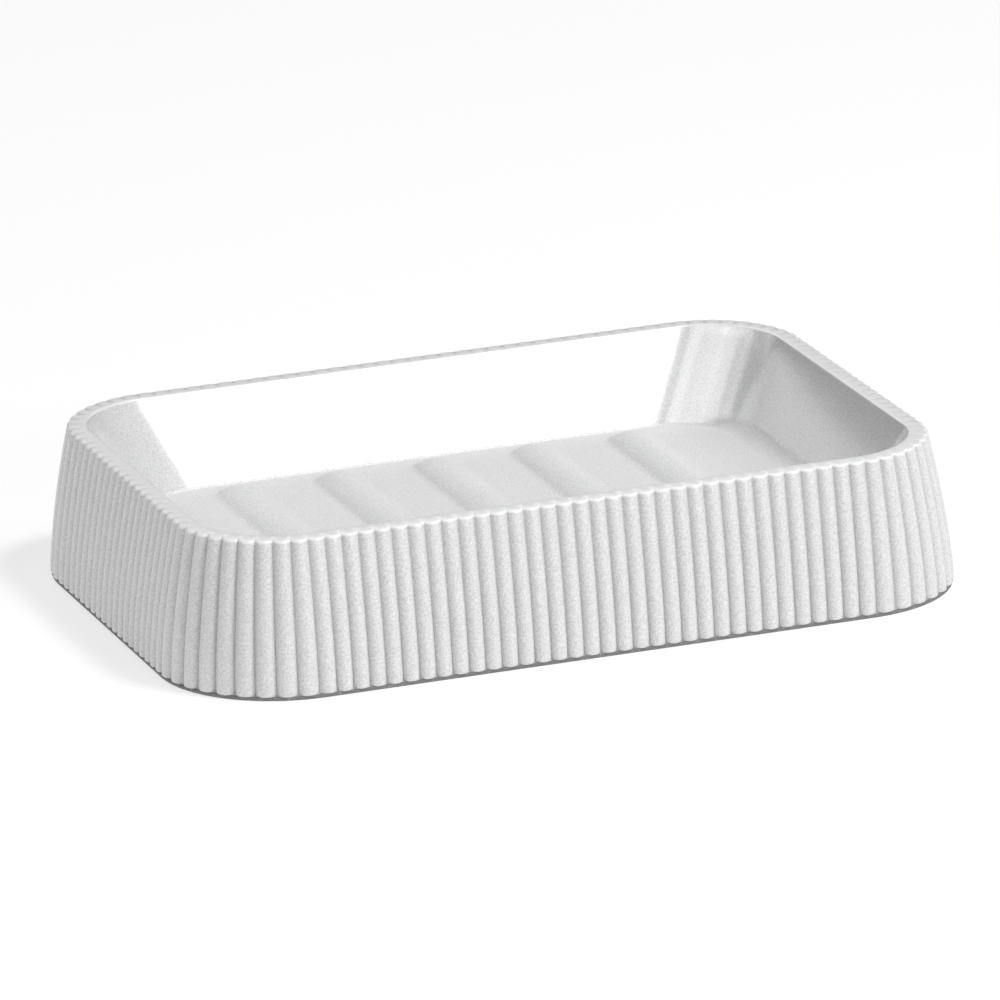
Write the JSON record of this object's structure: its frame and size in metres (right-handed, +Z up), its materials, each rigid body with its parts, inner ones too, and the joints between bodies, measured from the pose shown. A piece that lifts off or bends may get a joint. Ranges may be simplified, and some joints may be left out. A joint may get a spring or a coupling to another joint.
{
  "type": "soap dish",
  "caption": "Rectangular soap dish with rounded corners, a ribbed skirt flaring to the foot, a flat-floored basin with raised bars, a closed base and a grip pad.",
  "frame": {"origin": "centre of the footprint on the surface that the dish stands on", "axes": "+X along the dish's long side, to the right in the picture; +Y from the front to the back; +Z up"},
  "size_m": [0.142, 0.1, 0.0266],
  "materials": {
    "body_plastic": "semi-gloss moulded white plastic with a fine satin grain",
    "plate_plastic": "matt moulded off-white plastic",
    "pad_rubber": "matt dark grey sheet rubber"
  },
  "bodies": {
    "root": {"dish_body": "body_plastic", "base_plate": "plate_plastic", "grip_pad": "pad_rubber"}
  },
  "joints": []
}
